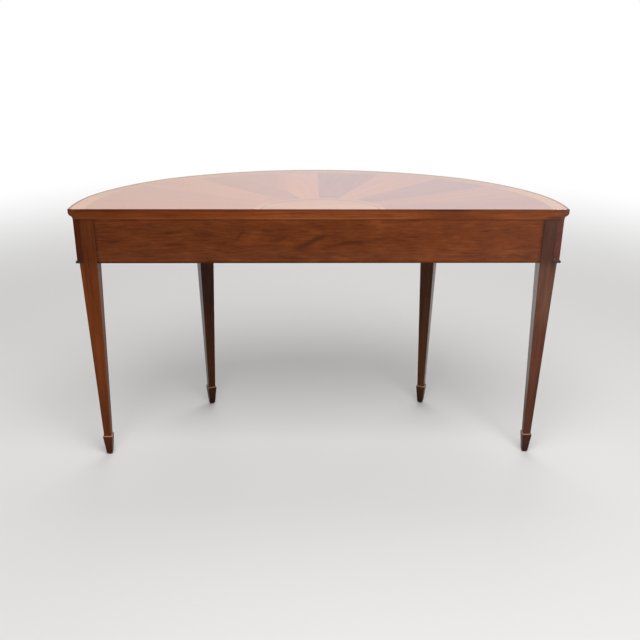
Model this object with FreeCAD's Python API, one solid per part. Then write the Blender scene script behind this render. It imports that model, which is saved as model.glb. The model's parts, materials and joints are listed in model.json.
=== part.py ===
"""Demilune table: half-round veneered top on a straight back rail, a bent bow apron and four spade-foot legs.

Millimetres, +Z up. The table is drawn with the straight back edge of its top on Y = 0 and its bow
towards +Y, and every piece is moved at the end so that the origin is on the floor under the middle.
"""
import FreeCAD
import Part

import math
import os

V = FreeCAD.Vector
UP = V(0, 0, 1)

# Overall size
TOP_WIDTH = 1372.0
TOP_DEPTH = 457.0
TABLE_HEIGHT = 787.0

# Half-round outline, drawn as a five-centred arch: the turn of the edge at its two changes of radius
SIDE_TURN = 36.0
CROWN_TURN = 66.0

# Top: thickness, moulded edge and veneers
TOP_THICKNESS = 29.0
VENEER = 0.9
MOULDING_WIDTH = 20.0
MOULDING_LIP = 8.0
MOULDING_FILLET = 10.0
MOULDING_REED_DEPTH = 10.0
MOULDING_REED_RUN = 6.5
MOULDING_FOOT = 1.0
MOULDING_EASE = 1.0
BACK_LIP_WIDTH = 13.0
CROSSBAND_WIDTH = 38.0
FAN_LEAVES = 10
LEAVES_PER_CROSSBAND = 2
MEDALLION_HALF_WIDTH = 178.0
MEDALLION_DEPTH = 114.0
MEDALLION_RING = 15.0
MEDALLION_LINE = 3.0

# Aprons
APRON_HEIGHT = 128.0
APRON_OVERHANG = 11.0
BOW_THICKNESS = 17.5
BEAD_HEIGHT = 7.0
BEAD_PROUD = 5.0
BEAD_BEVEL = 2.2
RAIL_THICKNESS = 20.0
RAIL_SETBACK = 1.0
TENON_THICKNESS = 10.0
TENON_LENGTH = 28.0
TENON_SHOULDER = 12.0
GLUE_GAP = 0.1

# Legs
LEG_WIDTH = 49.0
LEG_SETBACK = 5.5
LEG_BACK = 2.0
LEG_EASE = 1.5
FRONT_LEG_TURN = 22.5
NECK_WIDTH = 22.5
NECK_RISE = 2.0
COLLAR_WIDTH = 29.0
FOOT_HEIGHT = 65.0
TOE_WIDTH = 17.5
FOOT_EASE = 1.0

# Glides
GLIDE_DIAMETER = 15.0
GLIDE_THICKNESS = 4.0
GLIDE_CHAMFER = 0.8
GLIDE_NAIL_DIAMETER = 2.5
GLIDE_NAIL_LENGTH = 14.0

# Glue blocks, cross rails and cleat
BLOCK_SIZE = 29.0
BLOCK_HEIGHT = 96.0
BLOCK_CHAMFER = 8.0
BOW_BLOCK_FACE = 16.0
CROSS_RAIL_TO_LEG = 175.0
CROSS_RAIL_THICKNESS = 22.0
CROSS_RAIL_HEIGHT = 60.0
CROSS_RAIL_HOUSING = 6.0
CLEAT_SIZE = 22.0

# Screws
SCREW_DIAMETER = 4.5
SCREW_HEAD_DIAMETER = 8.5
SCREW_HEAD_HEIGHT = 3.0
SCREW_HEAD_EASE = 1.5
SCREW_TIP = 1.2
SCREW_BITE = 15.0
SCREW_CLEARANCE = 0.15
RAIL_COUNTERBORE = 34.0
COUNTERBORE_DIAMETER = 11.0
SCREWS_PER_RAIL = 3
SCREWS_PER_CLEAT = 4
RAIL_SCREW_END = 60.0
CLEAT_SCREW_END = 30.0
BLOCK_SCREW_END = 16.0
BOW_BLOCK_SCREW_END = 32.0

# Flat sides that stand for the roundness of small turned pieces and bores
SHANK_SIDES = 6
BORE_SIDES = 12

# Levels and lines that follow from the sizes above
HALF_WIDTH = TOP_WIDTH / 2
TOP_UNDERSIDE = TABLE_HEIGHT - TOP_THICKNESS
VENEER_BED = TABLE_HEIGHT - VENEER
CORE_UNDERSIDE = TOP_UNDERSIDE + VENEER
APRON_BOTTOM = TOP_UNDERSIDE - APRON_HEIGHT
BEAD_TOP = APRON_BOTTOM + BEAD_HEIGHT
CROSSBAND_INNER = MOULDING_LIP + CROSSBAND_WIDTH
BOW_CORE_FACE = APRON_OVERHANG + VENEER
BOW_INNER = APRON_OVERHANG + BOW_THICKNESS
LEG_FACE = APRON_OVERHANG + LEG_SETBACK
LEG_AXIS_INSET = LEG_FACE + LEG_WIDTH / 2
REAR_LEG_X = HALF_WIDTH - LEG_AXIS_INSET
REAR_LEG_Y = LEG_BACK + LEG_WIDTH / 2
REAR_LEG_INNER_X = REAR_LEG_X - LEG_WIDTH / 2
REAR_LEG_FRONT_Y = REAR_LEG_Y + LEG_WIDTH / 2
RAIL_BACK_Y = LEG_BACK + RAIL_SETBACK
RAIL_FRONT_Y = RAIL_BACK_Y + RAIL_THICKNESS
BLOCK_BOTTOM = TOP_UNDERSIDE - BLOCK_HEIGHT
SIDES = (("left", -1), ("right", 1))


def polar(angle):
    """Unit vector on plan, turned by angle degrees from +X towards +Y."""
    return V(math.cos(math.radians(angle)), math.sin(math.radians(angle)), 0)


def box(x0, x1, y0, y1, z0, z1):
    return Part.makeBox(x1 - x0, y1 - y0, z1 - z0, V(x0, y0, z0))


def flat_face(points):
    """Flat face inside a closed outline of points."""
    return Part.Face(Part.makePolygon(points + points[:1]))


def prism(points, z0, z1):
    """Upright prism over a closed outline of plan points."""
    face = flat_face([V(p.x, p.y, z0) for p in points])
    return face.extrude(UP * (z1 - z0))


def arch_arcs(half_width, depth):
    """Five tangent arcs (centre, radius, start turn, end turn), from the right side over to the left.

    The middle radius is the mean proportional of half width and depth. The side and crown radii then
    follow from the two conditions that the arch spans the half width and reaches the depth.
    """
    side, crown = polar(SIDE_TURN), polar(CROWN_TURN)
    middle = math.sqrt(half_width * depth)
    span = half_width - middle * (side.x - crown.x)
    rise = depth - middle * (crown.y - side.y)
    determinant = (1 - side.x) * (1 - crown.y) - crown.x * side.y
    side_radius = (span * (1 - crown.y) - crown.x * rise) / determinant
    crown_radius = ((1 - side.x) * rise - side.y * span) / determinant

    side_centre = V(half_width - side_radius, 0, 0)
    middle_centre = side_centre + side * (side_radius - middle)
    crown_centre = V(0, depth - crown_radius, 0)

    return [
        (side_centre, side_radius, 0, SIDE_TURN),
        (middle_centre, middle, SIDE_TURN, CROWN_TURN),
        (crown_centre, crown_radius, CROWN_TURN, 180 - CROWN_TURN),
        (V(-middle_centre.x, middle_centre.y, 0), middle, 180 - CROWN_TURN, 180 - SIDE_TURN),
        (V(-side_centre.x, side_centre.y, 0), side_radius, 180 - SIDE_TURN, 180),
    ]


TOP_ARCS = arch_arcs(HALF_WIDTH, TOP_DEPTH)
MEDALLION_ARCS = arch_arcs(MEDALLION_HALF_WIDTH, MEDALLION_DEPTH)


def half_round(arcs, inset, z0, z1):
    """Solid half-round plate whose curved edge lies inset inside the arch."""
    edges = []
    for centre, radius, start, end in arcs:
        points = [centre + polar(turn) * (radius - inset) for turn in (start, (start + end) / 2, end)]
        edges.append(Part.Arc(*points).toShape())
    first, last = edges[0].Vertexes[0].Point, edges[-1].Vertexes[-1].Point
    edges.append(Part.LineSegment(last, first).toShape())
    face = Part.Face(Part.Wire(Part.__sortEdges__(edges)))
    plate = face.extrude(UP * (z1 - z0))
    plate.translate(UP * z0)
    return plate


def half_ring(arcs, outer_inset, inner_inset, z0, z1):
    """Curved strip between two insets of one arch."""
    return half_round(arcs, outer_inset, z0, z1).cut(half_round(arcs, inner_inset, z0, z1))


def swept_round(arcs, profile):
    """Moulding made by turning one profile about the centre of each arc in turn.

    The profile takes an arc's centre, outward direction and radius, and returns a closed face.
    """
    pieces = []
    for centre, radius, start, end in arcs:
        section = profile(centre, polar(start), radius)
        pieces.append(section.revolve(centre, UP, end - start))
    return pieces[0].multiFuse(pieces[1:]).removeSplitter()


def profile_face(centre, outward, radius, corners):
    """Face from a list of (inset, level) corners; a pair of them in one entry is an arc's middle and end."""

    def place(inset, level):
        return centre + outward * (radius - inset) + UP * level

    edges = []
    here = place(*corners[0])
    for entry in corners[1:]:
        if isinstance(entry[0], tuple):
            middle, end = place(*entry[0]), place(*entry[1])
            edges.append(Part.Arc(here, middle, end).toShape())
        else:
            end = place(*entry)
            edges.append(Part.LineSegment(here, end).toShape())
        here = end
    edges.append(Part.LineSegment(here, place(*corners[0])).toShape())
    return Part.Face(Part.Wire(edges))


def tangent_arc(start, end, heading):
    """Arc entry of a profile that leaves start along a heading in degrees, and its heading at the end."""
    run, rise = end[0] - start[0], end[1] - start[1]
    swing = math.remainder(math.degrees(math.atan2(rise, run)) - heading, 360)
    bulge = math.tan(math.radians(swing / 2)) / 2
    middle = ((start[0] + end[0]) / 2 + rise * bulge, (start[1] + end[1]) / 2 - run * bulge)
    return (middle, end), heading + 2 * swing


def skinned(rings):
    """Solid with flat sides through rings of points that match corner for corner, from the lowest ring up."""
    faces = [flat_face(rings[0]), flat_face(rings[-1])]
    for below, above in zip(rings, rings[1:]):
        for corner in range(len(below)):
            faces.append(flat_face([below[corner - 1], below[corner], above[corner], above[corner - 1]]))
    solid = Part.Solid(Part.Shell(faces))
    if solid.Volume < 0:
        solid.reverse()
    return solid


def faceted(stations, sides=SHANK_SIDES):
    """Small turned piece along +Z through (radius, level) stations, round enough with a few flat sides."""
    rings = []
    for radius, level in stations:
        reach = radius / math.cos(math.pi / sides)
        rings.append([polar(360.0 * (side + 0.5) / sides) * reach + UP * level for side in range(sides)])
    return skinned(rings)


def screw(length):
    """Pan-head screw along +Z with the underside of its head on the origin."""
    shank = SCREW_DIAMETER / 2
    head = SCREW_HEAD_DIAMETER / 2
    crown = faceted([(head - SCREW_HEAD_EASE, -SCREW_HEAD_HEIGHT), (head, 0)])
    point = faceted([(shank, 0), (shank, length - SCREW_DIAMETER), (SCREW_TIP / 2, length)])
    return crown.fuse(point)


def aimed(shape, seat, direction):
    """Copy of a shape drawn along +Z, seated at a point and aimed along a direction."""
    placed = shape.copy()
    placed.Placement = FreeCAD.Placement(seat, FreeCAD.Rotation(UP, direction))
    return placed


def drill(seat, direction, length):
    """Hole for one screw's shank from the seat of its head, with clearance all round."""
    radius = SCREW_DIAMETER / 2 + SCREW_CLEARANCE
    return aimed(faceted([(radius, 0), (radius, length + SCREW_CLEARANCE)]), seat, direction)


def spread(start, end, count):
    """Evenly spaced values from start to end."""
    return [start + (end - start) * i / (count - 1) for i in range(count)]


def seam_direction(leaf):
    """Direction on plan of the seam before one leaf of the fan, spaced evenly round the arch."""
    turn = polar(180.0 * leaf / FAN_LEAVES)
    return V(HALF_WIDTH * turn.x, TOP_DEPTH * turn.y, 0)


def sector(first_leaf, last_leaf):
    """Wedge of the veneer layer between two seams, reaching past the edge of the top."""
    past_edge = 2
    rim = [seam_direction(leaf) * past_edge for leaf in range(first_leaf, last_leaf + 1)]
    return prism([V(0, 0, 0)] + rim, VENEER_BED, TABLE_HEIGHT)


def eased_square(width, ease, z):
    """Square outline on plan with its four corners eased off."""
    half = width / 2
    points = []
    for x, y in ((1, 1), (-1, 1), (-1, -1), (1, -1)):
        beside = V(x * (half - ease), y * half, z)
        above = V(x * half, y * (half - ease), z)
        points += [above, beside] if x * y > 0 else [beside, above]
    return points


def leg_blank():
    """Leg on its own axis: square head, taper to the neck, flared collar and spade foot."""
    stations = [
        (TOE_WIDTH, FOOT_EASE, GLIDE_THICKNESS),
        (COLLAR_WIDTH, FOOT_EASE, FOOT_HEIGHT),
        (NECK_WIDTH, FOOT_EASE, FOOT_HEIGHT + NECK_RISE),
        (LEG_WIDTH, LEG_EASE, APRON_BOTTOM),
        (LEG_WIDTH, LEG_EASE, TOP_UNDERSIDE),
    ]
    blank = skinned([eased_square(*station) for station in stations])
    hole_radius = GLIDE_NAIL_DIAMETER / 2 + SCREW_CLEARANCE
    hole_end = GLIDE_THICKNESS + GLIDE_NAIL_LENGTH + SCREW_CLEARANCE
    return blank.cut(faceted([(hole_radius, GLIDE_THICKNESS), (hole_radius, hole_end)]))


parts = {}

# Top core, backing veneer and the plain lip along the back
core_plate = half_round(TOP_ARCS, MOULDING_WIDTH, CORE_UNDERSIDE, VENEER_BED)
behind_core = box(-HALF_WIDTH, HALF_WIDTH, -TOP_DEPTH, BACK_LIP_WIDTH, TOP_UNDERSIDE, TABLE_HEIGHT)
top_core = core_plate.cut(behind_core)
backing_veneer = half_round(TOP_ARCS, MOULDING_WIDTH, TOP_UNDERSIDE, CORE_UNDERSIDE).cut(behind_core)
lip_plate = half_round(TOP_ARCS, MOULDING_WIDTH, TOP_UNDERSIDE, VENEER_BED)
parts["back_lip"] = lip_plate.common(behind_core)


def edge_profile(centre, outward, radius):
    """Section of the moulded edge: eased corner, flat fillet, ogee, and a tongue under the crossband."""
    top, bottom = TABLE_HEIGHT, TOP_UNDERSIDE
    downwards = -90
    fillet_end = (0, top - MOULDING_FILLET)
    reed_end = (MOULDING_REED_RUN, top - MOULDING_FILLET - MOULDING_REED_DEPTH)
    reed, reed_heading = tangent_arc(fillet_end, reed_end, downwards)
    cove, _ = tangent_arc(reed_end, (APRON_OVERHANG, bottom + MOULDING_FOOT), reed_heading)
    return profile_face(centre, outward, radius, [
        (MOULDING_EASE, top),
        (0, top - MOULDING_EASE),
        fillet_end,
        reed,
        cove,
        (APRON_OVERHANG, bottom),
        (MOULDING_WIDTH, bottom),
        (MOULDING_WIDTH, VENEER_BED),
        (MOULDING_LIP, VENEER_BED),
        (MOULDING_LIP, top),
    ])


parts["edge_moulding"] = swept_round(TOP_ARCS, edge_profile)

# Veneers: fan leaves, crossband and medallion
fan_field = half_round(TOP_ARCS, CROSSBAND_INNER, VENEER_BED, TABLE_HEIGHT)
fan_field = fan_field.cut(half_round(MEDALLION_ARCS, 0, VENEER_BED, TABLE_HEIGHT))
for leaf in range(FAN_LEAVES):
    parts[f"fan_veneer_{leaf + 1:02d}"] = fan_field.common(sector(leaf, leaf + 1))

band = half_ring(TOP_ARCS, MOULDING_LIP, CROSSBAND_INNER, VENEER_BED, TABLE_HEIGHT)
for index, leaf in enumerate(range(0, FAN_LEAVES, LEAVES_PER_CROSSBAND)):
    parts[f"crossband_{index + 1}"] = band.common(sector(leaf, min(leaf + LEAVES_PER_CROSSBAND, FAN_LEAVES)))

line_outer = MEDALLION_RING
line_inner = MEDALLION_RING + MEDALLION_LINE
parts["medallion_ring"] = half_ring(MEDALLION_ARCS, 0, line_outer, VENEER_BED, TABLE_HEIGHT)
parts["medallion_line"] = half_ring(MEDALLION_ARCS, line_outer, line_inner, VENEER_BED, TABLE_HEIGHT)
parts["medallion_panel"] = half_round(MEDALLION_ARCS, line_inner, VENEER_BED, TABLE_HEIGHT)

# Bow apron with its face veneer, and the bead under it
behind_legs = box(-HALF_WIDTH, HALF_WIDTH, -TOP_DEPTH, LEG_BACK, 0, TABLE_HEIGHT)
bow_core = half_ring(TOP_ARCS, BOW_CORE_FACE, BOW_INNER, BEAD_TOP, TOP_UNDERSIDE)
bow_skin = half_ring(TOP_ARCS, APRON_OVERHANG, BOW_CORE_FACE, BEAD_TOP, TOP_UNDERSIDE)
parts["bow_apron"] = bow_core.cut(behind_legs)
parts["bow_veneer"] = bow_skin.cut(behind_legs)


def bead_profile(centre, outward, radius):
    """Section of the bead: a flat strip with a bevelled nose that stands proud of the apron."""
    nose = APRON_OVERHANG - BEAD_PROUD
    shoulder = nose + BEAD_BEVEL
    return profile_face(centre, outward, radius, [
        (BOW_INNER, APRON_BOTTOM),
        (shoulder, APRON_BOTTOM),
        (nose, APRON_BOTTOM + BEAD_BEVEL),
        (nose, BEAD_TOP - BEAD_BEVEL),
        (shoulder, BEAD_TOP),
        (BOW_INNER, BEAD_TOP),
    ])


parts["apron_bead"] = swept_round(TOP_ARCS, bead_profile).cut(behind_legs)

# Legs, rebated on their outer side so that the bow apron and bead lap over them
lap = half_ring(TOP_ARCS, -LEG_WIDTH, BOW_INNER, APRON_BOTTOM, TOP_UNDERSIDE)


def bow_station(turn, inset):
    """Point inside the bow where its edge is turned by an angle from straight ahead, on the right side."""
    normal_turn = 90 - turn
    for centre, radius, start, end in TOP_ARCS:
        if start <= normal_turn <= end:
            return centre + polar(normal_turn) * (radius - inset)
    raise ValueError("the bow has no such turn")


def bow_inside_x(y):
    """Where the inner face of the bow apron stands at a level on plan near the right end of its side arc."""
    centre, radius, _, _ = TOP_ARCS[0]
    return centre.x + math.sqrt((radius - BOW_INNER) ** 2 - y**2)


def mirrored(shape):
    """The left-hand copy of a right-hand piece."""
    return shape.mirror(V(0, 0, 0), V(1, 0, 0))


def pair(name, shape):
    """Keep a right-hand piece and its left-hand copy."""
    parts[f"{name}_right"] = shape
    parts[f"{name}_left"] = mirrored(shape)


FRONT_OUT = polar(90 - FRONT_LEG_TURN)
FRONT_ALONG = polar(-FRONT_LEG_TURN)
FRONT_LEG_AXIS = bow_station(FRONT_LEG_TURN, LEG_AXIS_INSET)


def front_point(along, out):
    """Point on plan in the right front leg's own directions, from its axis."""
    return FRONT_LEG_AXIS + FRONT_ALONG * along + FRONT_OUT * out


rear_leg = leg_blank()
rear_leg.translate(V(REAR_LEG_X, REAR_LEG_Y, 0))
tenon_middle_y = RAIL_BACK_Y + RAIL_THICKNESS / 2
tenon_y = (tenon_middle_y - TENON_THICKNESS / 2, tenon_middle_y + TENON_THICKNESS / 2)
tenon_z = (APRON_BOTTOM + TENON_SHOULDER, TOP_UNDERSIDE - TENON_SHOULDER)
tenon = box(REAR_LEG_INNER_X, REAR_LEG_INNER_X + TENON_LENGTH, *tenon_y, *tenon_z)
mortise = box(REAR_LEG_INNER_X, REAR_LEG_INNER_X + TENON_LENGTH + GLUE_GAP,
              tenon_y[0] - GLUE_GAP, tenon_y[1] + GLUE_GAP, tenon_z[0] - GLUE_GAP, tenon_z[1] + GLUE_GAP)
pair("rear_leg", rear_leg.cut(lap).cut(mortise))

front_leg = leg_blank()
front_leg.rotate(V(0, 0, 0), UP, -FRONT_LEG_TURN)
front_leg.translate(FRONT_LEG_AXIS)
pair("front_leg", front_leg.cut(lap))

# Cross rails between the back rail and the bow, housed in the back rail, with a glue block at the bow
rail_x = FRONT_LEG_AXIS.x - CROSS_RAIL_TO_LEG
rail_inner_x = rail_x - CROSS_RAIL_THICKNESS / 2
rail_outer_x = rail_x + CROSS_RAIL_THICKNESS / 2
rail_bottom = TOP_UNDERSIDE - CROSS_RAIL_HEIGHT
rail_start_y = RAIL_FRONT_Y - CROSS_RAIL_HOUSING
cross_rail = box(rail_inner_x, rail_outer_x, rail_start_y, TOP_DEPTH, rail_bottom, TOP_UNDERSIDE)
cross_rail = cross_rail.cut(lap)
pair("cross_rail", cross_rail)
rail_end_y = cross_rail.BoundBox.YMax
rail_block = prism([
    V(rail_outer_x, rail_end_y - BLOCK_SIZE, 0),
    V(rail_outer_x + BLOCK_SIZE - BLOCK_CHAMFER, rail_end_y - BLOCK_SIZE, 0),
    V(rail_outer_x + BLOCK_SIZE, rail_end_y - BLOCK_SIZE + BLOCK_CHAMFER, 0),
    V(rail_outer_x + BLOCK_SIZE, TOP_DEPTH, 0),
    V(rail_outer_x, TOP_DEPTH, 0),
], rail_bottom, TOP_UNDERSIDE)
pair("cross_rail_block", rail_block.cut(lap))

# Back rail, tenoned into the rear legs
back_apron = box(-REAR_LEG_INNER_X, REAR_LEG_INNER_X, RAIL_BACK_Y, RAIL_FRONT_Y, APRON_BOTTOM, TOP_UNDERSIDE)
back_apron = back_apron.multiFuse([tenon, mirrored(tenon)])
back_apron = back_apron.cut(parts["cross_rail_left"]).cut(parts["cross_rail_right"])
parts["back_apron"] = back_apron

# Cleat along the back rail, between the cross rails
cleat_front_y = RAIL_FRONT_Y + CLEAT_SIZE
cleat_bottom = TOP_UNDERSIDE - CLEAT_SIZE
back_cleat = box(-rail_inner_x, rail_inner_x, RAIL_FRONT_Y, cleat_front_y, cleat_bottom, TOP_UNDERSIDE)
parts["back_cleat"] = back_cleat

# Glue blocks beside the legs
rail_block_x = REAR_LEG_INNER_X - BLOCK_SIZE
rail_block_y = RAIL_FRONT_Y + BLOCK_SIZE
pair("rear_rail_block", prism([
    V(rail_block_x, RAIL_FRONT_Y, 0),
    V(REAR_LEG_INNER_X, RAIL_FRONT_Y, 0),
    V(REAR_LEG_INNER_X, rail_block_y, 0),
    V(rail_block_x + BLOCK_CHAMFER, rail_block_y, 0),
    V(rail_block_x, rail_block_y - BLOCK_CHAMFER, 0),
], BLOCK_BOTTOM, TOP_UNDERSIDE))

bow_block_y = REAR_LEG_FRONT_Y + BLOCK_SIZE
bow_block_x = bow_inside_x(bow_block_y) - BOW_BLOCK_FACE
bow_block = box(bow_block_x, HALF_WIDTH, REAR_LEG_FRONT_Y, bow_block_y, BLOCK_BOTTOM, TOP_UNDERSIDE)
pair("rear_bow_block", bow_block.cut(lap))

block_face = LEG_WIDTH / 2 + BLOCK_SIZE
bow_inside = LEG_AXIS_INSET - BOW_INNER
block_inside = bow_inside - BLOCK_SIZE
for place, way in (("outer", 1), ("inner", -1)):
    block = prism([
        front_point(way * LEG_WIDTH / 2, block_inside),
        front_point(way * (block_face - BLOCK_CHAMFER), block_inside),
        front_point(way * block_face, block_inside + BLOCK_CHAMFER),
        front_point(way * block_face, LEG_AXIS_INSET),
        front_point(way * LEG_WIDTH / 2, LEG_AXIS_INSET),
    ], BLOCK_BOTTOM, TOP_UNDERSIDE)
    pair(f"front_leg_block_{place}", block.cut(lap))

# Screws: each is added to its group, and its hole is drilled through the pieces that it joins
groups = {}


def fasten(group, seat, direction, grip, pieces):
    """Drive one screw from the seat of its head, through grip millimetres and a bite more."""
    length = grip + SCREW_BITE
    groups.setdefault(group, []).append(aimed(screw(length), seat, direction))
    for name in pieces:
        parts[name] = parts[name].cut(drill(seat, direction, length))


def fasten_pair(group, seat, direction, grip, pieces):
    """The same on the right and on the left, for pieces named without their side."""
    for side, sign in SIDES:
        there = V(sign * seat.x, seat.y, seat.z)
        aim = V(sign * direction.x, direction.y, direction.z)
        fasten(group, there, aim, grip, [f"{name}_{side}" for name in pieces])


parts["top_core"] = top_core
parts["backing_veneer"] = backing_veneer
rail_seat_z = rail_bottom + RAIL_COUNTERBORE
bore_radius = COUNTERBORE_DIAMETER / 2
for y in spread(RAIL_FRONT_Y + RAIL_SCREW_END, rail_end_y - RAIL_SCREW_END, SCREWS_PER_RAIL):
    for side, sign in SIDES:
        counterbore = faceted([(bore_radius, rail_bottom), (bore_radius, rail_seat_z)], BORE_SIDES)
        counterbore.translate(V(sign * rail_x, y, 0))
        parts[f"cross_rail_{side}"] = parts[f"cross_rail_{side}"].cut(counterbore)
        seat = V(sign * rail_x, y, rail_seat_z)
        fasten("top_screws", seat, UP, TOP_UNDERSIDE - rail_seat_z,
               [f"cross_rail_{side}", "backing_veneer", "top_core"])

cleat_end_x = rail_inner_x - CLEAT_SCREW_END
cleat_stations = spread(-cleat_end_x, cleat_end_x, SCREWS_PER_CLEAT)
for x in cleat_stations:
    seat = V(x, (RAIL_FRONT_Y + cleat_front_y) / 2, cleat_bottom)
    fasten("top_screws", seat, UP, CLEAT_SIZE, ["back_cleat", "backing_veneer", "top_core"])
for x, next_x in zip(cleat_stations, cleat_stations[1:]):
    seat = V((x + next_x) / 2, cleat_front_y, (cleat_bottom + TOP_UNDERSIDE) / 2)
    fasten("cleat_screws", seat, V(0, -1, 0), CLEAT_SIZE, ["back_cleat", "back_apron"])

for z in (BLOCK_BOTTOM + BLOCK_SCREW_END, TOP_UNDERSIDE - BLOCK_SCREW_END):
    seat = V(rail_block_x, (RAIL_FRONT_Y + rail_block_y - BLOCK_CHAMFER) / 2, z)
    fasten_pair("block_screws", seat, V(1, 0, 0), BLOCK_SIZE, ["rear_rail_block", "rear_leg"])
    for place, way in (("outer", 1), ("inner", -1)):
        seat = front_point(way * block_face, (block_inside + BLOCK_CHAMFER + bow_inside) / 2) + UP * z
        joined = [f"front_leg_block_{place}", "front_leg"]
        fasten_pair("block_screws", seat, FRONT_ALONG * -way, BLOCK_SIZE, joined)

bow_block_middle_x = bow_block_x + BOW_BLOCK_FACE / 2
for z in (BLOCK_BOTTOM + BOW_BLOCK_SCREW_END, TOP_UNDERSIDE - BOW_BLOCK_SCREW_END):
    seat = V(bow_block_middle_x, bow_block_y, z)
    fasten_pair("block_screws", seat, V(0, -1, 0), BLOCK_SIZE, ["rear_bow_block", "rear_leg"])

for name, screws in groups.items():
    parts[name] = Part.makeCompound(screws)

# Glides, one nailed under each foot
glide_radius = GLIDE_DIAMETER / 2
nail_radius = GLIDE_NAIL_DIAMETER / 2
pad = faceted([
    (glide_radius - GLIDE_CHAMFER, 0),
    (glide_radius, GLIDE_CHAMFER),
    (glide_radius, GLIDE_THICKNESS),
], BORE_SIDES)
nail = faceted([(nail_radius, GLIDE_THICKNESS), (nail_radius, GLIDE_THICKNESS + GLIDE_NAIL_LENGTH)])
glide = pad.fuse(nail)
glides = []
for axis, turn in ((V(REAR_LEG_X, REAR_LEG_Y, 0), 0), (FRONT_LEG_AXIS, FRONT_LEG_TURN)):
    for _, sign in SIDES:
        placed = glide.copy()
        placed.rotate(V(0, 0, 0), UP, -sign * turn)
        placed.translate(V(sign * axis.x, axis.y, 0))
        glides.append(placed)
parts["foot_glides"] = Part.makeCompound(glides)

# Move the table over its origin and write one file for each piece
os.makedirs("parts", exist_ok=True)
for name, shape in parts.items():
    shape = shape.copy()
    shape.translate(V(0, -TOP_DEPTH / 2, 0))
    shape.exportStep(f"parts/{name}.step")
    print(f"{name}: {len(shape.Solids)} solid, {shape.Volume / 1000:.2f} cm3, valid {shape.isValid()}")
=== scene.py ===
# %% [markdown]
# # A demilune table
# This lesson dresses a half-round side table. The joiner's work is already done in the frame: every leg,
# rail, leaf of veneer and screw is a solid at its real place. What is left is what the polisher and the
# photographer do. We soften the edges, give each wood its own grain and gloss, and set up the light.

# %% Load the frame
import json
import math

import bpy
import bmesh
from mathutils import Matrix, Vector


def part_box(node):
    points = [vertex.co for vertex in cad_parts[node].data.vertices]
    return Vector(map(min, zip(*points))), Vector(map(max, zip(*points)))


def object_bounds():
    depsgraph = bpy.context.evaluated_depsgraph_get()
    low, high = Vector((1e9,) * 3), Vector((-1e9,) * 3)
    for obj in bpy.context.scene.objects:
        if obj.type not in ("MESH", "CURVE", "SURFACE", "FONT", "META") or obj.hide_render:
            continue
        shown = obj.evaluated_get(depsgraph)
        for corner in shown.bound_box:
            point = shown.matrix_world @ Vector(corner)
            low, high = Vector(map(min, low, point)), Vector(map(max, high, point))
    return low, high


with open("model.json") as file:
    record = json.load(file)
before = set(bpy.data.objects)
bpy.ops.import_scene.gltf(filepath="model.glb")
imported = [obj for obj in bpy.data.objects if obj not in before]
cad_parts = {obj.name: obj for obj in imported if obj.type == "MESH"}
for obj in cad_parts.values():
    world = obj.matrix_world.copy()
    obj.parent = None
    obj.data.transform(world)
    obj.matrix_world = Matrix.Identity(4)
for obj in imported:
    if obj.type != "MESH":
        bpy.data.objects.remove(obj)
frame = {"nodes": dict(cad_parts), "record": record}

nodes = frame["nodes"]
cad_low, cad_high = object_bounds()
print(len(nodes), "nodes, size", [round(size, 3) for size in cad_high - cad_low])

# %% [markdown]
# ## Where the table stands
# The straight back of the table faces the camera, and the bow is on the far side. Most patterns below are
# measured from the middle of that back edge, because the seams of the sunburst run out from it. We read
# the place from the frame, so the finishes still fit if the table is made in another size.

# %% Main places
half_width = cad_high.x
depth = cad_high.y - cad_low.y
height = cad_high.z
back_y = cad_low.y
apron_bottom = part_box("apron_bead")[0].z
lip_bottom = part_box("back_lip")[0].z
print("back edge at", round(back_y, 4), "apron from", round(apron_bottom, 3), "to", round(lip_bottom, 3))

# %% [markdown]
# ## Camera
# The picture is taken from behind the table, a little above it, with a normal lens. The camera turns about
# the upright first, then down, then by a hair of roll. Three turns multiplied in that order say this
# plainly, where a single set of Euler angles would hide it.

# %% Camera at the photograph's viewing angle
SENSOR = 36.0
FRAME_PIXELS = 640
FOCAL_PIXELS = 859.4
CAMERA_X = -0.0552
CAMERA_BEHIND_BACK_EDGE = 2.2724
CAMERA_HEIGHT = 1.437
CAMERA_PITCH = 0.4068
CAMERA_YAW = 0.0250
CAMERA_ROLL = 0.0075

lens = bpy.data.cameras.new("camera")
lens.sensor_width = SENSOR
lens.lens = FOCAL_PIXELS * SENSOR / FRAME_PIXELS
camera = bpy.data.objects.new("camera", lens)
turn = Matrix.Rotation(-CAMERA_YAW, 4, "Z")
tilt = Matrix.Rotation(math.pi / 2 - CAMERA_PITCH, 4, "X")
roll = Matrix.Rotation(CAMERA_ROLL, 4, "Z")
place = Matrix.Translation((CAMERA_X, back_y - CAMERA_BEHIND_BACK_EDGE, CAMERA_HEIGHT))
camera.matrix_world = place @ turn @ tilt @ roll
bpy.context.scene.collection.objects.link(camera)
bpy.context.scene.camera = camera
print("lens", round(lens.lens, 1), "mm")

# %% [markdown]
# ## Writing shaders as sums
# A wood finish is mostly arithmetic: streaks plus fibres, less pores, times a tone. Dragging nodes about for
# that is slow to read. A small class wraps one socket, so that `1 - mask` or `0.6 * broad + fibre`
# adds the Math nodes by itself. Its node method adds every other kind of node.

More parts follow.
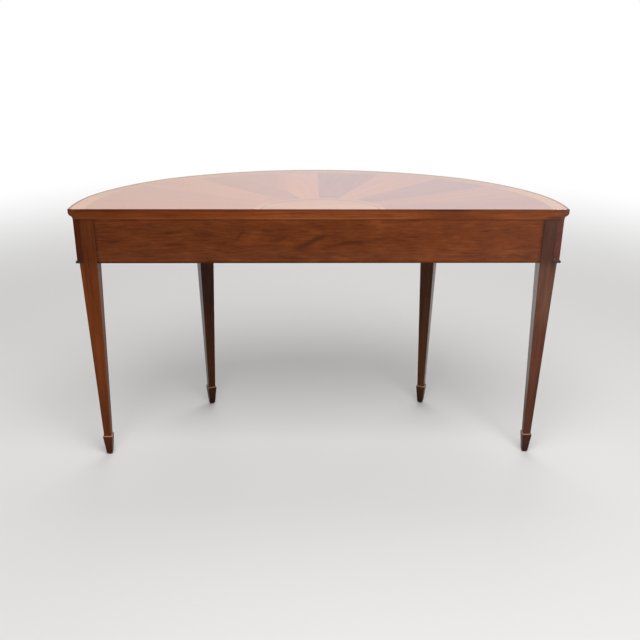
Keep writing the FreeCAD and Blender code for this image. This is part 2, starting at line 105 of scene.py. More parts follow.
# %% One socket that can be reckoned with
class Strand:
    """One shader socket. Reckoning with strands adds Math nodes, and node() adds any other node."""

    def __init__(self, tree, socket=None):
        self.tree = tree
        self.socket = socket

    def node(self, kind, settings=None, inputs=None, output=0):
        """Add a node: its settings come first, then values or links for its sockets."""
        made = self.tree.nodes.new(kind)
        for name, value in (settings or {}).items():
            if name == "stops":
                fill_ramp(made.color_ramp, value)
            else:
                setattr(made, name, value)
        for key, value in (inputs or {}).items():
            if isinstance(value, Strand):
                self.tree.links.new(value.socket, made.inputs[key])
            else:
                made.inputs[key].default_value = value
        return Strand(self.tree, made.outputs[output] if made.outputs else None)

    def maths(self, operation, *values):
        """Add a Math node on one or two values."""
        return self.node("ShaderNodeMath", {"operation": operation}, dict(enumerate(values)))

    def __add__(self, other):
        return self.maths("ADD", self, other)

    def __radd__(self, other):
        return self.maths("ADD", other, self)

    def __sub__(self, other):
        return self.maths("SUBTRACT", self, other)

    def __rsub__(self, other):
        return self.maths("SUBTRACT", other, self)

    def __mul__(self, other):
        return self.maths("MULTIPLY", self, other)

    def __rmul__(self, other):
        return self.maths("MULTIPLY", other, self)

    def __truediv__(self, other):
        return self.maths("DIVIDE", self, other)

    def __rtruediv__(self, other):
        return self.maths("DIVIDE", other, self)


def fill_ramp(ramp, stops):
    """Set a colour ramp's stops from (place, colour) pairs."""
    while len(ramp.elements) < len(stops):
        ramp.elements.new(1.0)
    for element, (position, colour) in zip(ramp.elements, stops):
        element.position = position
        element.color = (*colour, 1.0)


print("strands ready")

# %% [markdown]
# ## Small helpers for patterns
# A few helpers carry all the woods. Noise is stretched along the grain by dividing its coordinates by the
# length and width of one streak, in metres, so a streak's size is written as a maker would measure it.
# A mask fades from 0 to 1 between two levels, in either direction. Colours are mixed, scaled and
# multiplied through Mix and Vector Math nodes, because a Math node would turn them grey.

# %% Noise and masks
NOISE_MEAN = 0.5


def noise(grain, length, width, seed, detail=3.0, distortion=0.0):
    """Cloudy pattern whose blots are length long and width wide along the grain."""
    blot = (length, width, width)
    stretched = grain.node("ShaderNodeVectorMath", {"operation": "DIVIDE"}, {0: grain, 1: blot})
    return grain.node("ShaderNodeTexNoise", {"noise_dimensions": "4D"}, {
        "Vector": stretched,
        "W": seed,
        "Scale": 1.0,
        "Detail": detail,
        "Distortion": distortion,
    })


def mask(value, start, end):
    """Smooth step of a value: 0 at start, 1 at end. The start may be the higher of the two."""
    return value.node("ShaderNodeMapRange", {"interpolation_type": "SMOOTHSTEP"}, {
        "Value": value,
        "From Min": start,
        "From Max": end,
    })


def split(vector):
    """The x, y and z of a vector strand."""
    return [vector.node("ShaderNodeSeparateXYZ", {}, {0: vector}, axis) for axis in range(3)]


print("noise and masks ready")

# %% Colours
MIX_A = 6
MIX_B = 7
MIX_RESULT = 2


def blend(factor, first, second, way="MIX"):
    """Mix two colours by a strand."""
    settings = {"data_type": "RGBA", "blend_type": way}
    return factor.node("ShaderNodeMix", settings, {0: factor, MIX_A: first, MIX_B: second}, MIX_RESULT)


def scaled(colour, value):
    """A colour made lighter or darker by a strand."""
    return value.node("ShaderNodeVectorMath", {"operation": "SCALE"}, {0: colour, "Scale": value})


def times(colour, tint):
    """A colour times another."""
    return colour.node("ShaderNodeVectorMath", {"operation": "MULTIPLY"}, {0: colour, 1: tint})


print("colour helpers ready")

# %% [markdown]
# ## Which way the grain runs
# A board's grain follows its length, so the rail's grain lies along the back and a leg's stands upright. The
# leaves of the sunburst are sheets of veneer, each with its grain along its own middle line. The bent
# pieces follow the bow. Each helper turns object coordinates so that x lies along the grain.

# %% Straight grain
def turned_back(coordinates, location, rotation):
    """Coordinates as seen from a place that is moved and turned."""
    return coordinates.node("ShaderNodeMapping", {"vector_type": "TEXTURE"}, {
        "Vector": coordinates,
        "Location": location,
        "Rotation": rotation,
    })


def grain_across(coordinates):
    """Grain along the back of the table."""
    return coordinates


def grain_upright(coordinates):
    """Grain up and down a leg."""
    return turned_back(coordinates, (0, 0, 0), (0, -math.pi / 2, 0))


def grain_towards(angle):
    """Grain along a line on plan that leaves the middle of the back edge at an angle."""

    def grain(coordinates):
        return turned_back(coordinates, (0, back_y, 0), (0, 0, angle))

    return grain


print("straight grain ready")

# %% Grain of bent pieces
BOW_REACH = 0.6


def bow_places(coordinates):
    """Distance round the bow and out from the middle of the back edge, both in metres or nearly so."""
    x, y, z = split(coordinates)
    along = x / half_width
    outward = (y - back_y) / depth
    turned = along.maths("ARCTAN2", outward, along)
    reach = along.maths("SQRT", along * along + outward * outward)
    return turned * BOW_REACH, reach * BOW_REACH, z


def grain_round_bow(coordinates):
    """Grain along the bow."""
    turned, reach, z = bow_places(coordinates)
    return coordinates.node("ShaderNodeCombineXYZ", {}, {0: turned, 1: reach, 2: z})


def grain_across_bow(coordinates):
    """Short grain across the bow, as on crossbanding."""
    turned, reach, z = bow_places(coordinates)
    return coordinates.node("ShaderNodeCombineXYZ", {}, {0: reach, 1: turned, 2: z})


print("bent grain ready")

# %% [markdown]
# ## One recipe for wood
# Wood shows four things at once: broad clouds of tone, a figure of streaks, fine fibres, and pores. The
# recipe adds the first three into one value and looks it up in a ramp from the dark streaks to the
# light wood. Pores darken the colour, dull the gloss and dent the surface. Lacquer is a coat over it, and
# its weight says how thickly the piece is polished.

# %% Sizes and tones of a wood
class Wood:
    """Sizes in metres of one wood's pattern, and how strongly each part of it shows."""

    def __init__(self, tones, broad=(0.4, 0.06), figure=(0.2, 0.012), fibre=(0.05, 0.0015),
                 pore=(0.012, 0.0008), weights=(0.35, 0.45, 0.2), pores=0.35, wander=0.6):
        self.tones = tones
        self.broad = broad
        self.figure = figure
        self.fibre = fibre
        self.pore = pore
        self.weights = weights
        self.pores = pores
        self.wander = wander


print("a wood is described by", len(vars(Wood(tones=[]))), "values")

# %% Polished wood
FIGURE_SEED = 3
FIBRE_SEED = 7
PORE_SEED = 11
FIGURE_CONTRAST = (0.32, 0.68)
PORE_LEVEL = (0.60, 0.72)
UNEVEN_GLOSS = 0.08
PORE_DULLNESS = 0.1
GRAIN_STRENGTH = 0.25
GRAIN_DEPTH = 0.0002
COAT_ROUGHNESS = 0.12


def blank_material(name):
    """A new material with a bare Principled surface: its first strand and its shader."""
    material = bpy.data.materials.new(name)
    material.use_nodes = True
    material.node_tree.nodes.clear()
    start = Strand(material.node_tree)
    surface = material.node_tree.nodes.new("ShaderNodeBsdfPrincipled")
    start.node("ShaderNodeOutputMaterial", {}, {"Surface": Strand(start.tree, surface.outputs[0])})
    return material, start, surface


def feed(strand, surface, name):
    """Link a strand to one of a surface's sockets."""
    strand.tree.links.new(strand.socket, surface.inputs[name])


def polish(name, wood, grain, seed, coat=0.0, coat_ior=1.5, roughness=0.38, specular=0.2, colour_marks=None,
           bare=None):
    """Material of one wood on one piece; age may change its colour by place, and bare places have no coat."""
    material, start, surface = blank_material(name)
    coordinates = start.node("ShaderNodeTexCoord", output="Object")
    lie = grain(coordinates)
    broad = noise(lie, *wood.broad, seed, detail=2.0)
    figure = noise(lie, *wood.figure, seed + FIGURE_SEED, distortion=wood.wander)
    fibre = noise(lie, *wood.fibre, seed + FIBRE_SEED, detail=2.0)
    pore = mask(noise(lie, *wood.pore, seed + PORE_SEED, detail=1.0), *PORE_LEVEL)
    cloud, streak, thread = wood.weights
    tone = mask(cloud * broad + streak * figure + thread * fibre, *FIGURE_CONTRAST)
    count = len(wood.tones) - 1
    stops = [(index / count, colour) for index, colour in enumerate(wood.tones)]
    colour = start.node("ShaderNodeValToRGB", {"stops": stops}, {"Fac": tone})
    colour = scaled(colour, 1 - wood.pores * pore)
    # These colour changes hold wear, tone, and painted light and shade.
    if colour_marks:
        colour = colour_marks(coordinates, colour)
    feed(colour, surface, "Base Color")
    feed(roughness + UNEVEN_GLOSS * (broad - NOISE_MEAN) + PORE_DULLNESS * pore, surface, "Roughness")
    relief = {"Strength": GRAIN_STRENGTH, "Distance": GRAIN_DEPTH, "Height": fibre - pore}
    feed(start.node("ShaderNodeBump", {}, relief), surface, "Normal")
    surface.inputs["Specular IOR Level"].default_value = specular
    surface.inputs["Coat Weight"].default_value = coat
    if bare:
        feed(coat * (1 - bare(coordinates)), surface, "Coat Weight")
    surface.inputs["Coat Roughness"].default_value = COAT_ROUGHNESS
    surface.inputs["Coat IOR"].default_value = coat_ior
    return material


def dress(material, *names):
    """Give CAD nodes a material."""
    for name in names:
        nodes[name].material_slots[0].material = material
    print(material.name, "on", ", ".join(names))


# %% [markdown]
# ## Back rail
# The rail is a plain mahogany board, brown-red under a satin lacquer, with a few dark veins that wander
# across the grain. Noise could scatter such veins, but not where the real ones are, so they are placed one
# by one. Each has a middle (x, and height on the rail), a slope, a reach, a width and a darkness.

# %% Mahogany of the rail
MAHOGANY = Wood(
    tones=[(0.078, 0.017, 0.004), (0.124, 0.028, 0.006), (0.148, 0.035, 0.0075), (0.195, 0.050, 0.012)],
    broad=(0.07, 0.045),
    figure=(0.10, 0.010),
    fibre=(0.030, 0.0040),
    weights=(0.33, 0.37, 0.30),
    wander=1.4,
)
rail_low, rail_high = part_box("back_apron")
shoulder_x = -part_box("rear_leg_left")[1].x
print("rail from", round(rail_low.z, 3), "to", round(rail_high.z, 3), "up to legs at", round(shoulder_x, 3))

# %% Veins of the rail
VEINS = (
    (-0.406, 0.090, 0.15, 0.050, 0.008, 0.25),
    (-0.222, 0.080, 1.00, 0.020, 0.010, 0.30),
    (-0.020, 0.064, 0.41, 0.060, 0.012, 0.50),
    (0.061, 0.055, 0.15, 0.080, 0.009, 0.38),
    (0.170, 0.070, 0.08, 0.060, 0.006, 0.30),
    (0.258, 0.077, 0.02, 0.030, 0.005, 0.35),
    (0.390, 0.066, 1.20, 0.020, 0.010, 0.22),
)
VEIN_WAVER = 0.016
WAVER_SIZE = 0.025
WAVER_SEED = 9.0
FULL_REACH = 0.1


def size_of(value):
    """A strand without its sign."""
    return value.maths("ABSOLUTE", value)


def veins(coordinates):
    """What the dark veins leave of the light."""
    x, _, z = split(coordinates)
    waver = VEIN_WAVER * (noise(coordinates, WAVER_SIZE, WAVER_SIZE, WAVER_SEED) - NOISE_MEAN)
    remaining = 1.0
    for vein_x, vein_height, slope, reach, width, darkness in VEINS:
        along = x - vein_x
        apart = z - (rail_low.z + vein_height) - slope * along + waver
        line = mask(size_of(apart), width, 0.0) * mask(size_of(along), reach, FULL_REACH * reach)
        remaining = remaining * (1 - darkness * line)
    return remaining


print(len(VEINS), "veins")

# %% [markdown]
# ## Wear of the rail
# Painted light makes the rail lighter along its top, below the lip, with a painted highlight on its top
# arris, and lighter towards the right; painted shade darkens the corners at the legs. Its lower half has
# faded a little, and its bottom edge is darker. Noise can't know about edges, so all of this is painted by
# height and by the distance along the rail. Each change below is written as three numbers: where it
# starts, where it is full, and how much lighter the wood is there.

# %% Painted wear, painted light and painted shade
NO_TINT = (1, 1, 1, 1)
FADED_RAIL = (1.10, 1.20, 1.55, 1)
FADED_HALF = (0.060, 0.025)
# Painted light: lighter towards the right end of the rail.
RAIL_RIGHT_PAINTED_LIGHT = (-0.10, 0.50, 0.24)
# Painted light along the top, below the lip, against the lip's shade; stronger in the middle.
RAIL_TOP_PAINTED_LIGHT = (0.022, 0.004, 0.12)
RAIL_TOP_MIDDLE_PAINTED_LIGHT = (0.022, 0.004, 0.18)
RAIL_MIDDLE_START = (-0.30, -0.15)
RAIL_MIDDLE_END = (0.15, 0.05)
# Painted highlight on the rail's top arris.
RAIL_PAINTED_HIGHLIGHT = (0.006, 0.001, 0.40)
RAIL_BOTTOM = (0.007, 0.002, -0.60)
# Painted shade in the corners where the rail meets the legs.
RAIL_PAINTED_SHADE_AT_LEGS = (0.012, 0.0, -0.45)


# Used for wear and for painted light and shade alike.
def lighter_by(value, start, end, change):
    """How much lighter the wood is, or darker where the change is below 0."""
    return change * mask(value, start, end)


def rail_wear_and_painted_light(coordinates, colour):
    """Painted light along the top and to the right, faded below, dark at the bottom, painted shade at the
    legs, dark veins.
    """
    x, _, z = split(coordinates)
    under_top = rail_high.z - z
    over_bottom = z - rail_low.z
    middle = mask(x, *RAIL_MIDDLE_START) * mask(x, *RAIL_MIDDLE_END)
    top = lighter_by(under_top, *RAIL_TOP_PAINTED_LIGHT) + lighter_by(under_top, *RAIL_TOP_MIDDLE_PAINTED_LIGHT) * middle
    edges = lighter_by(under_top, *RAIL_PAINTED_HIGHLIGHT) + lighter_by(over_bottom, *RAIL_BOTTOM)
    ends = lighter_by(x, *RAIL_RIGHT_PAINTED_LIGHT) + lighter_by(shoulder_x - size_of(x), *RAIL_PAINTED_SHADE_AT_LEGS)
    paler_part = blend(mask(over_bottom, *FADED_HALF), NO_TINT, FADED_RAIL)
    return scaled(times(scaled(colour, 1 + top + edges + ends), paler_part), veins(coordinates))


dress(polish("rail_mahogany", MAHOGANY, grain_across, seed=4.0, specular=0.10, colour_marks=rail_wear_and_painted_light), "back_apron")

# %% [markdown]
# ## Legs
# Each leg is one stick of mahogany, so its grain stands upright and runs straight. The four sticks come from
# different boards, so each has a seed of its own. Each has a tint too: the left rear leg's is its board's
# tone, the front legs' darker tints are painted shade, and the right rear leg's bluer tint is a painted
# sheen. A painted sheen also makes that leg's upper half paler and greyer, and the ledge on top of each
# spade foot has a painted highlight.

# %% Mahogany of the legs
LEG_TONES = [(0.078, 0.018, 0.004), (0.130, 0.031, 0.007), (0.155, 0.038, 0.009), (0.200, 0.052, 0.013)]
# Left rear tint: board tone. Front legs: painted shade. Right rear: painted cool sheen.
LEG_TINTS_AND_PAINTED_LIGHT = {
    "rear_leg_left": (1.10, 1.02, 0.75),
    "rear_leg_right": (0.75, 0.96, 2.1),
    "front_leg_left": (0.48, 0.46, 0.40),
    "front_leg_right": (0.70, 0.88, 1.1),
}
LEGS = tuple(LEG_TINTS_AND_PAINTED_LIGHT)


def leg_wood(tint):
    """Straight-grained mahogany, its tones times a tint of board tone, painted shade or painted sheen."""
    tones = [tuple(part * share for part, share in zip(tone, tint)) for tone in LEG_TONES]
    return Wood(tones, broad=(0.3, 0.03), figure=(0.20, 0.006), fibre=(0.06, 0.003),
                weights=(0.42, 0.33, 0.25), wander=0.5)


print(len(LEGS), "legs")

# %% Painted shade, sheen and highlight of the legs, and their darker feet
COLLAR_LEVEL = 0.065
LEDGE_RISE = 0.002
LEDGE_START = (-0.0008, 0.0)
LEDGE_END = (LEDGE_RISE, 0.7 * LEDGE_RISE)
# Painted highlight on the ledge of each spade foot.
LEDGE_PAINTED_HIGHLIGHT = (0.32, 0.19, 0.145, 1)
# Painted shade at the head of each leg, beside the rail.
LEG_HEAD_PAINTED_SHADE = (-0.03, 0.02, -0.28)
LEG_FOOT = (0.0, -0.004, -0.30)
LEG_TOE = (COLLAR_LEVEL, 0.0, -0.25)
# Painted cool sheen on the upper half of the right rear leg, fading beside the rail.
LEG_PAINTED_SHEEN = {"rear_leg_right": (1.31, 1.70, 1.95, 1)}
SHEEN_RISE = (0.60, 0.85)
SHEEN_FADE_AT_HEAD = (-0.03, 0.02, -0.75)


def leg_painted_light_and_tone(painted_sheen):
    """Painted shade by the rail, darker foot, painted highlight on the ledge, and any painted sheen above."""

    def colour_marks(coordinates, colour):
        z = split(coordinates)[2]
        over_apron = z - apron_bottom
        over_collar = z - COLLAR_LEVEL
        light = 1 + lighter_by(over_apron, *LEG_HEAD_PAINTED_SHADE) + lighter_by(over_collar, *LEG_FOOT) + lighter_by(z, *LEG_TOE)
        upper = mask(z / apron_bottom, *SHEEN_RISE) * (1 + lighter_by(over_apron, *SHEEN_FADE_AT_HEAD))
        bloomed = times(scaled(colour, light), blend(upper, NO_TINT, painted_sheen))
        ledge = mask(over_collar, *LEDGE_START) * mask(over_collar, *LEDGE_END)
        return blend(ledge, bloomed, LEDGE_PAINTED_HIGHLIGHT)

    return colour_marks


# Legs with a painted sheen.
print("bloom on", ", ".join(LEG_PAINTED_SHEEN))

# %% [markdown]
# ## Lacquer of the legs
# Three legs have kept their lacquer on one side, above the foot, which shines when it is seen at a slant. The
# faces that dusters reach are worn dull, and the left rear leg has no coat left at all. We find a side by
# its distance from the leg's axis, which follows the taper. The front legs are turned to face the bow, so
# we turn them back first.

# %% Lacquer that is left
LEFT = -1
RIGHT = 1
FRONT_TURN = math.radians(22.5)
REAR_RISE = (0.14, 0.28)
FRONT_RISE = (0.05, 0.10)
REAR_WEAR = 1.0
FRONT_WEAR = 0.6
KEPT_COAT = {
    "rear_leg_right": (LEFT, 0.0, REAR_RISE, REAR_WEAR),
    "front_leg_left": (LEFT, FRONT_TURN, FRONT_RISE, FRONT_WEAR),
    "front_leg_right": (RIGHT, -FRONT_TURN, FRONT_RISE, FRONT_WEAR),
}
NECK_HALF_WIDTH = 0.01125
SIDE_DEPTH = (0.0012, 0.0004)
leg_low, leg_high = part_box("rear_leg_left")
leg_half_width = (leg_high.x - leg_low.x) / 2
neck_level = COLLAR_LEVEL + LEDGE_RISE
taper = (leg_half_width - NECK_HALF_WIDTH) / (apron_bottom - neck_level)


def worn(leg, side, turn, rise, gone):
    """How much of a leg's coat is gone: none on one side above its foot, and a share of it elsewhere."""
    low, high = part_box(leg)
    axis = (low + high) / 2

    def bare(coordinates):
        across, _, z = split(turned_back(coordinates, (axis.x, axis.y, 0), (0, 0, turn)))
        inward = NECK_HALF_WIDTH + taper * (z - neck_level) - side * across
        kept = mask(inward, *SIDE_DEPTH) * mask(z, *rise)
        return gone * (1 - kept)

    return bare


print("legs taper by", round(1000 * taper, 1), "mm a metre on each side")

# %% Dress the legs
LEG_SPECULAR = {"rear_leg_left": 0.12, "rear_leg_right": 0.12, "front_leg_left": 0.0, "front_leg_right": 0.0}
LEG_COAT_IOR = 1.35
for index, (leg, tint) in enumerate(LEG_TINTS_AND_PAINTED_LIGHT.items()):
    gloss = {"specular": LEG_SPECULAR[leg]}
    if leg in KEPT_COAT:
        gloss.update(coat=1.0, coat_ior=LEG_COAT_IOR, bare=worn(leg, *KEPT_COAT[leg]))
    colour_marks = leg_painted_light_and_tone(LEG_PAINTED_SHEEN.get(leg, NO_TINT))
    finish = polish(leg + "_mahogany", leg_wood(tint), grain_upright, seed=20.0 + 5 * index, colour_marks=colour_marks, **gloss)
    dress(finish, leg)

# %% [markdown]
# ## Edge of the top
# The top is framed in solid mahogany: a plain lip along the back and a moulding bent round the bow. It is
# the part that sleeves and cloths rub most, so it is a shade more orange than the rail, and its middle is
# the lightest. Its lower arris has a painted highlight, and painted shade darkens it over the right leg.
# The lip's wear and painted light are written as the rail's are.

# %% Plain lip
EDGE_MAHOGANY = Wood(
    tones=[(0.108, 0.022, 0.004), (0.164, 0.037, 0.0065), (0.195, 0.046, 0.009), (0.245, 0.063, 0.0135)],
    broad=(0.18, 0.03),
    figure=(0.15, 0.005),
    wander=0.8,
)
LIP_LIGHT = 1.08
# Painted highlight on the lip's lower arris.
LIP_ARRIS_PAINTED_HIGHLIGHT = (0.008, 0.001, 0.25)
LIP_TOP = (0.014, 0.001, -0.35)
LIP_TOP_SPARED = (0.42, 0.55, -0.4)
LIP_LEFT_END = (-0.40, -0.66, -0.25)
LIP_RIGHT_END = (0.42, 0.55, 0.10)
LIP_STAIN = (0.27, 0.34, -0.30)
LIP_STAIN_END = (0.43, 0.37)
# Painted shade on the lip's lower edge over the right leg.
LIP_PAINTED_SHADE_OVER_LEG = (0.615, 0.645, -0.70)
SHADE_OVER_LEG_RISE = (0.014, 0.003)
WORN_LIP = (1.20, 1.32, 1.80, 1)
WORN_START = (-0.24, -0.02)
WORN_END = (0.30, 0.22)


def lip_wear_and_painted_light(coordinates, colour):
    """Dark on top, at the left, in a stain; painted shade by the leg; painted arris highlight; rubbed middle.
    """
    x, _, z = split(coordinates)
    over_bottom = z - lip_bottom
    top = lighter_by(height - z, *LIP_TOP) * (1 + lighter_by(x, *LIP_TOP_SPARED))
    ends = lighter_by(x, *LIP_LEFT_END) + lighter_by(x, *LIP_RIGHT_END)
    stain = lighter_by(x, *LIP_STAIN) * mask(x, *LIP_STAIN_END)
    shade_over_leg = lighter_by(x, *LIP_PAINTED_SHADE_OVER_LEG) * mask(over_bottom, *SHADE_OVER_LEG_RISE)
    light = LIP_LIGHT + lighter_by(over_bottom, *LIP_ARRIS_PAINTED_HIGHLIGHT) + top + ends + stain + shade_over_leg
    middle = mask(x, *WORN_START) * mask(x, *WORN_END)
    return times(scaled(colour, light), blend(middle, NO_TINT, WORN_LIP))


dress(polish("lip_mahogany", EDGE_MAHOGANY, grain_across, seed=50.0, specular=0.1, colour_marks=lip_wear_and_painted_light), "back_lip")

# %% [markdown]
# ## Moulded edge
# The moulding is lacquered only on its top, with the veneer, and waxed on its sides. Its two cut ends show at
# the back. End grain drinks polish, so they are darker and have no shine. One material does all of it,
# because the coat's weight may change from place to place.

# %% Moulding round the bow
END_GRAIN = (0.002, 0.0)
END_GRAIN_LOSS = 0.25
LACQUERED_TOP = (0.003, 0.001)


def cut_end(coordinates):
    """1 on the cut ends of the moulding at the back of the table."""
    return mask(split(coordinates)[1] - back_y, *END_GRAIN)


def dull_sides(coordinates):
    """1 where the moulding is only waxed: everywhere but on its top."""
    top = mask(height - split(coordinates)[2], *LACQUERED_TOP)
    return 1 - top * (1 - cut_end(coordinates))


def age_moulding(coordinates, colour):
    """End grain has drunk the polish and is darker."""
    return scaled(colour, 1 - END_GRAIN_LOSS * cut_end(coordinates))


moulding_finish = polish("moulding_mahogany", EDGE_MAHOGANY, grain_round_bow, seed=54.0, coat=1.0,
                         colour_marks=age_moulding, bare=dull_sides)
dress(moulding_finish, "edge_moulding")

# %% [markdown]
# ## Bow apron
# The bow is built up and faced with a mahogany veneer whose grain runs round it. The ends of the core show
# beside the rear legs. They are end grain too, so they are dark, and the right one has a painted cool sheen.

# %% Mahogany of the bow
BOW_VENEER = Wood(
    tones=[(0.070, 0.016, 0.004), (0.135, 0.033, 0.008), (0.175, 0.045, 0.011), (0.230, 0.064, 0.018)],
    broad=(0.12, 0.10),
    figure=(0.10, 0.014),
    wander=1.6,
)
BOW_CORE = Wood(
    tones=[(0.040, 0.007, 0.002), (0.072, 0.013, 0.004), (0.100, 0.020, 0.007)],
    figure=(0.05, 0.003),
)
LEFT_END_TINT = (0.95, 0.85, 0.60, 1)
# Painted cool sheen on the right end of the core.
RIGHT_END_PAINTED_SHEEN = (1.77, 2.80, 6.20, 1)
BOW_MIDDLE = (-0.1, 0.1)


def core_tone_and_painted_sheen(coordinates, colour):
    """The left end of the bow is deep red, and the right end has a painted cool sheen."""
    paler_part = mask(split(coordinates)[0], *BOW_MIDDLE)
    return times(colour, blend(paler_part, LEFT_END_TINT, RIGHT_END_PAINTED_SHEEN))


dress(polish("bow_mahogany", BOW_VENEER, grain_round_bow, seed=60.0, coat=0.2), "bow_veneer")
core_finish = polish("bow_core_mahogany", BOW_CORE, grain_round_bow, seed=64.0, specular=0.1, colour_marks=core_tone_and_painted_sheen)
dress(core_finish, "bow_apron")

# %% [markdown]
# ## Sunburst
# Ten leaves of mahogany veneer fan out from the middle of the back edge, light and dark by turns. Each was
# cut along the grain, so its streaks lie along its own middle line and catch the light differently from
# the next leaf's. That light and dark is painted into each leaf's colour: each leaf gets its own material
# with its own direction, painted shade and seed. One leaf has a painted shade that darkens it towards a
# corner. Two layers of polish mirror the wall beyond.

# %% Veneer of the fan
# Lit and shaded tones of one veneer: painted light and painted shade.
LIT_LEAF_TONES = [(0.334, 0.098, 0.038), (0.364, 0.112, 0.048), (0.384, 0.124, 0.056), (0.414, 0.140, 0.068)]
SHADED_LEAF_TONES = [(0.204, 0.056, 0.032), (0.224, 0.066, 0.042), (0.244, 0.078, 0.052), (0.274, 0.092, 0.064)]
# Painted shade of each leaf, from 0 for its lit tones to 1 for its shaded tones.
LEAF_PAINTED_SHADE = (0.68, 0.48, 0.88, 0.24, 1.0, 0.0, 0.72, 0.28, 0.45, 0.42)
TOP_FINISH = {"coat": 1.0, "coat_ior": 1.6, "roughness": 0.3, "specular": 0.8}


def leaf_wood(darkness):
    """Veneer between its lit and its shaded tones: painted light and painted shade."""
    tones = []
    for light, dark in zip(LIT_LEAF_TONES, SHADED_LEAF_TONES):
        tones.append(tuple(a + (b - a) * darkness for a, b in zip(light, dark)))
    return Wood(tones, broad=(0.25, 0.05), figure=(0.22, 0.008), weights=(0.45, 0.35, 0.2), wander=0.5,
                pores=0.15)


print(len(LEAF_PAINTED_SHADE), "leaves from light to dark")

# %% Leaves of the fan
# Painted shade towards the outer left corner of one leaf.
CORNER_SHADED_LEAF = 6
CORNER_PAINTED_SHADE = (0.74, 0.73, 0.94, 1)
SHADED_CORNER = (-0.075, -0.155)


def shade_leaf_corner(coordinates, colour):
    """Painted shade, darker towards the leaf's outer left corner."""
    turned = mask(split(coordinates)[0], *SHADED_CORNER)
    return times(colour, blend(turned, NO_TINT, CORNER_PAINTED_SHADE))


for number, darkness in enumerate(LEAF_PAINTED_SHADE, start=1):
    middle = math.pi * (number - 0.5) / len(LEAF_PAINTED_SHADE)
    direction = math.atan2(depth * math.sin(middle), half_width * math.cos(middle))
    leaf = f"fan_veneer_{number:02d}"
    colour_marks = shade_leaf_corner if number == CORNER_SHADED_LEAF else None
    finish = polish(leaf + "_finish", leaf_wood(darkness), grain_towards(direction), seed=70.0 + 6 * number,
                    colour_marks=colour_marks, **TOP_FINISH)
    dress(finish, leaf)

# %% [markdown]
# ## Crossbanding and medallion
# The border and the half-round medallion are a paler, silky wood. On the border the grain runs across the
# band, from short pieces laid side by side, and along the bow a painted shade makes it browner than at its
# ends, which keep their paler colour as a painted sheen. On the medallion the grain lies along the back,
# and its two halves differ by a shade.

# %% Satinwood of the border
SATINWOOD = Wood(
    tones=[(0.354, 0.140, 0.051), (0.414, 0.180, 0.076), (0.454, 0.205, 0.096), (0.504, 0.240, 0.121)],
    broad=(0.15, 0.03),
    figure=(0.10, 0.006),
    wander=0.4,
    pores=0.15,
)
BAND_PIECES = 5
# Painted shade along the bow; the paler ends stand in for a sheen.
BAND_MIDDLE_PAINTED_SHADE = (0.72, 0.62, 0.42, 1)
LEFT_BAND_END = (-0.82, -0.99)
RIGHT_BAND_END = (0.65, 0.97)


def shade_band_middle(coordinates, colour):
    """Painted shade, browner along the bow than at its two ends, and further round at the left."""
    along = split(coordinates)[0] / half_width
    ends = mask(along, *LEFT_BAND_END) + mask(along, *RIGHT_BAND_END)
    return blend(1 - ends, colour, BAND_MIDDLE_PAINTED_SHADE, "MULTIPLY")


for number in range(1, BAND_PIECES + 1):
    band = f"crossband_{number}"
    finish = polish(band + "_finish", SATINWOOD, grain_across_bow, seed=140.0 + 4 * number, colour_marks=shade_band_middle,
                    **TOP_FINISH)
    dress(finish, band)

# %% Satinwood of the medallion
MEDALLION_DEPTHS = (0.035, 0.085)
MEDALLION_NEAR_TINT = (0.92, 0.84, 0.78, 1)
MEDALLION_FAR_TINT = (0.80, 0.66, 0.60, 1)
HALVES_SEAM = (0.0004, -0.0004)
PINKER_HALF = (0.98, 0.94, 1.0, 1)


def age_medallion(coordinates, colour):
    """Lighter towards the back edge, and the left of its two matched halves a shade pinker."""
    x, y, _ = split(coordinates)
    shade = blend(mask(y - back_y, *MEDALLION_DEPTHS), MEDALLION_NEAR_TINT, MEDALLION_FAR_TINT)
    pinker = blend(mask(x, *HALVES_SEAM), NO_TINT, PINKER_HALF)
    return times(times(colour, shade), pinker)


for name, seed in (("medallion_panel", 170.0), ("medallion_ring", 174.0)):
    dress(polish(name + "_satinwood", SATINWOOD, grain_across, seed, colour_marks=age_medallion, **TOP_FINISH), name)

# %% [markdown]
# ## Dark lines
# The bead under the bow is stained black, and the fine line inside the medallion is a dark brown. Stained
# wood still shows some grain, so both get the wood recipe in dark tones.

# %% Stained wood
EBONISED = Wood(
    tones=[(0.006, 0.004, 0.004), (0.014, 0.009, 0.008), (0.028, 0.017, 0.014)],
    figure=(0.08, 0.004),
)
STAINED_LINE = Wood(tones=[(0.070, 0.028, 0.012), (0.110, 0.046, 0.022), (0.150, 0.066, 0.034)])
dress(polish("line_stained", STAINED_LINE, grain_across, seed=180.0, **TOP_FINISH), "medallion_line")
dress(polish("bead_ebony", EBONISED, grain_round_bow, seed=184.0, coat=0.3), "apron_bead")

# %% [markdown]
# ## Underneath
# Nobody polishes the inside of a table. The blocks, cleat and cross rails are bare poplar, pale with green
# and brown streaks, and the core of the top is glued from similar boards. The backing veneer that seals
# the underside is a plain brown wood, smoother than the poplar but without a shine.

